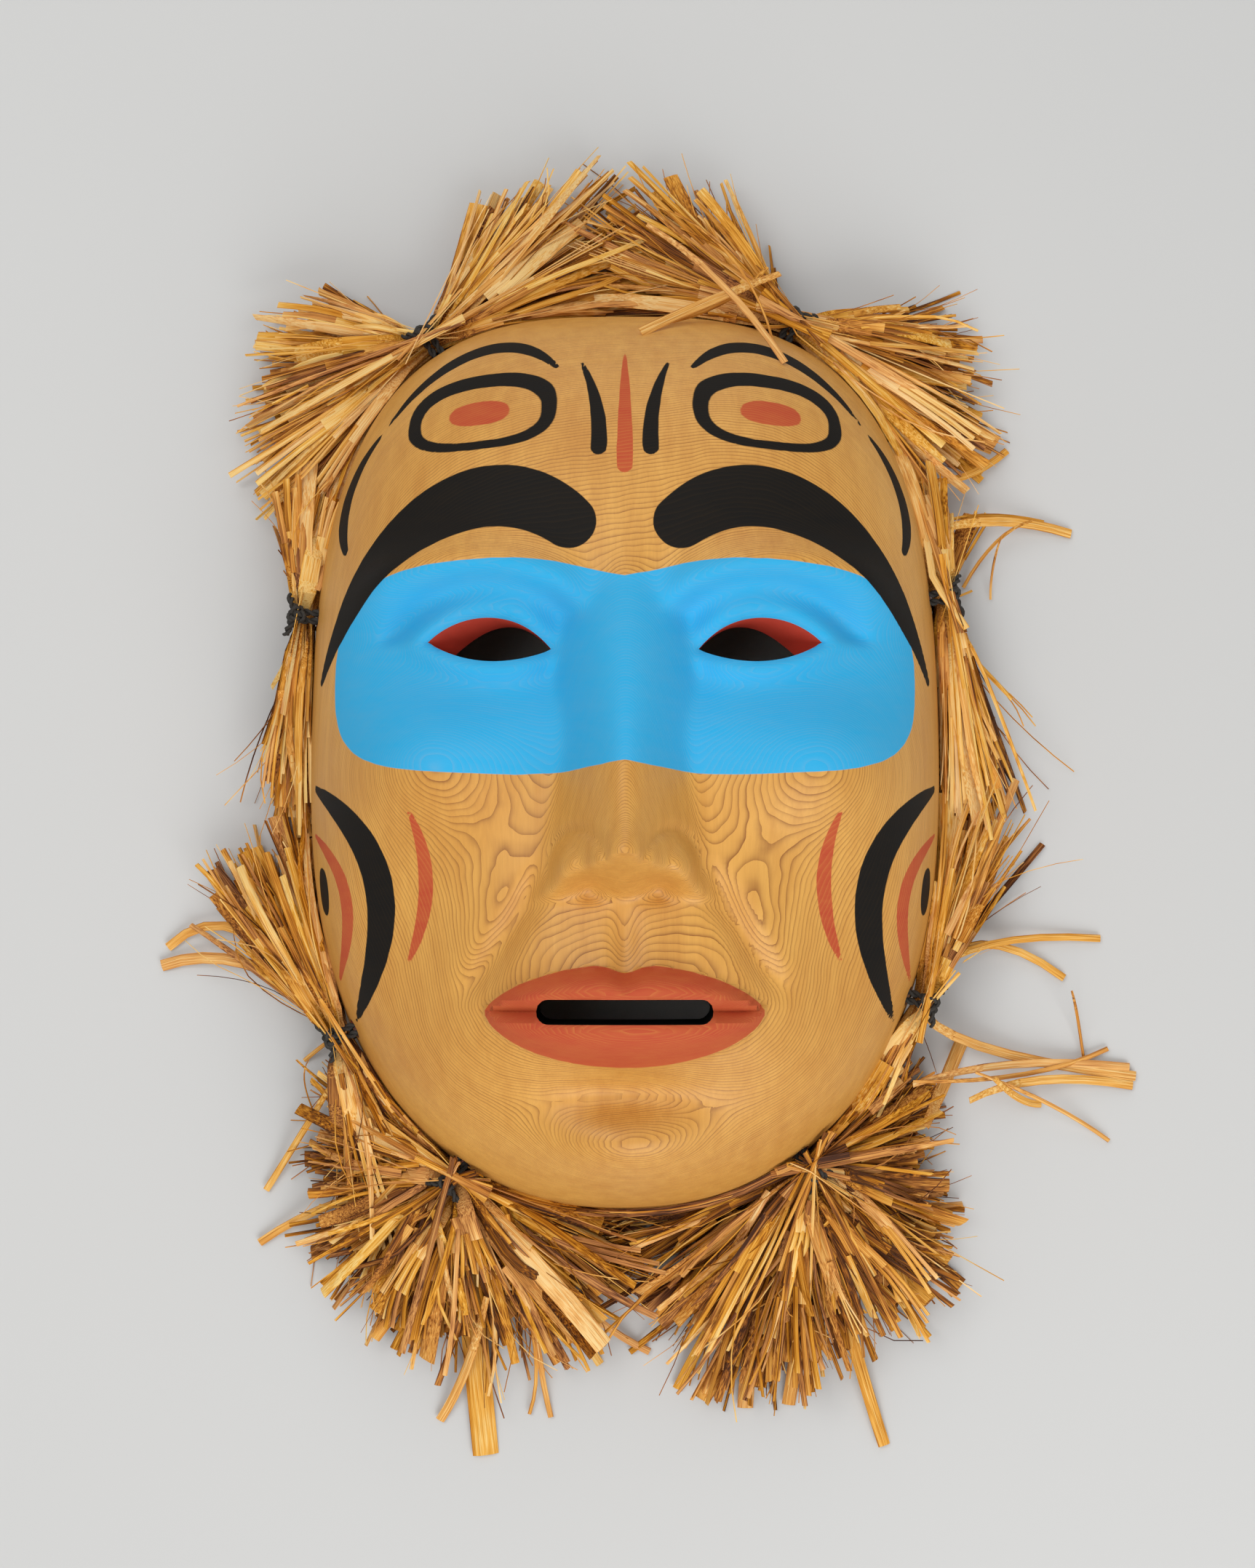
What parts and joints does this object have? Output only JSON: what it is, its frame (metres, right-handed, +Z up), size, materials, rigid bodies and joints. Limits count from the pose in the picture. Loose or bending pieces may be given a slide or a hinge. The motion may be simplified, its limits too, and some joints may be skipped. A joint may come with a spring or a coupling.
{
  "type": "carved wooden face mask",
  "caption": "Hollow carved wooden face mask, lying face up, with open eyes and mouth and bundles of shredded bark tied round its rim.",
  "frame": {"origin": "middle of the whole object's underside, on the surface that the mask's rim rests on", "axes": "+Z up, the way the face looks; +Y towards the crown of the head; +X towards the right of someone looking at the face"},
  "size_m": [0.3328, 0.4372, 0.1226],
  "materials": {
    "cedar": "oiled satin",
    "bark": "dry and fibrous",
    "cord": "twisted, matte"
  },
  "bodies": {
    "root": {"mask_face": "cedar", "bark_right_upper": "bark", "bark_top_right": "bark", "bark_top_left": "bark", "bark_left_upper": "bark", "bark_left_lower": "bark", "bark_bottom_left": "bark", "bark_bottom_right": "bark", "bark_right_lower": "bark", "lashing_right_upper": "cord", "lashing_top_right": "cord", "lashing_top_left": "cord", "lashing_left_upper": "cord", "lashing_left_lower": "cord", "lashing_bottom_left": "cord", "lashing_bottom_right": "cord", "lashing_right_lower": "cord"}
  },
  "joints": []
}
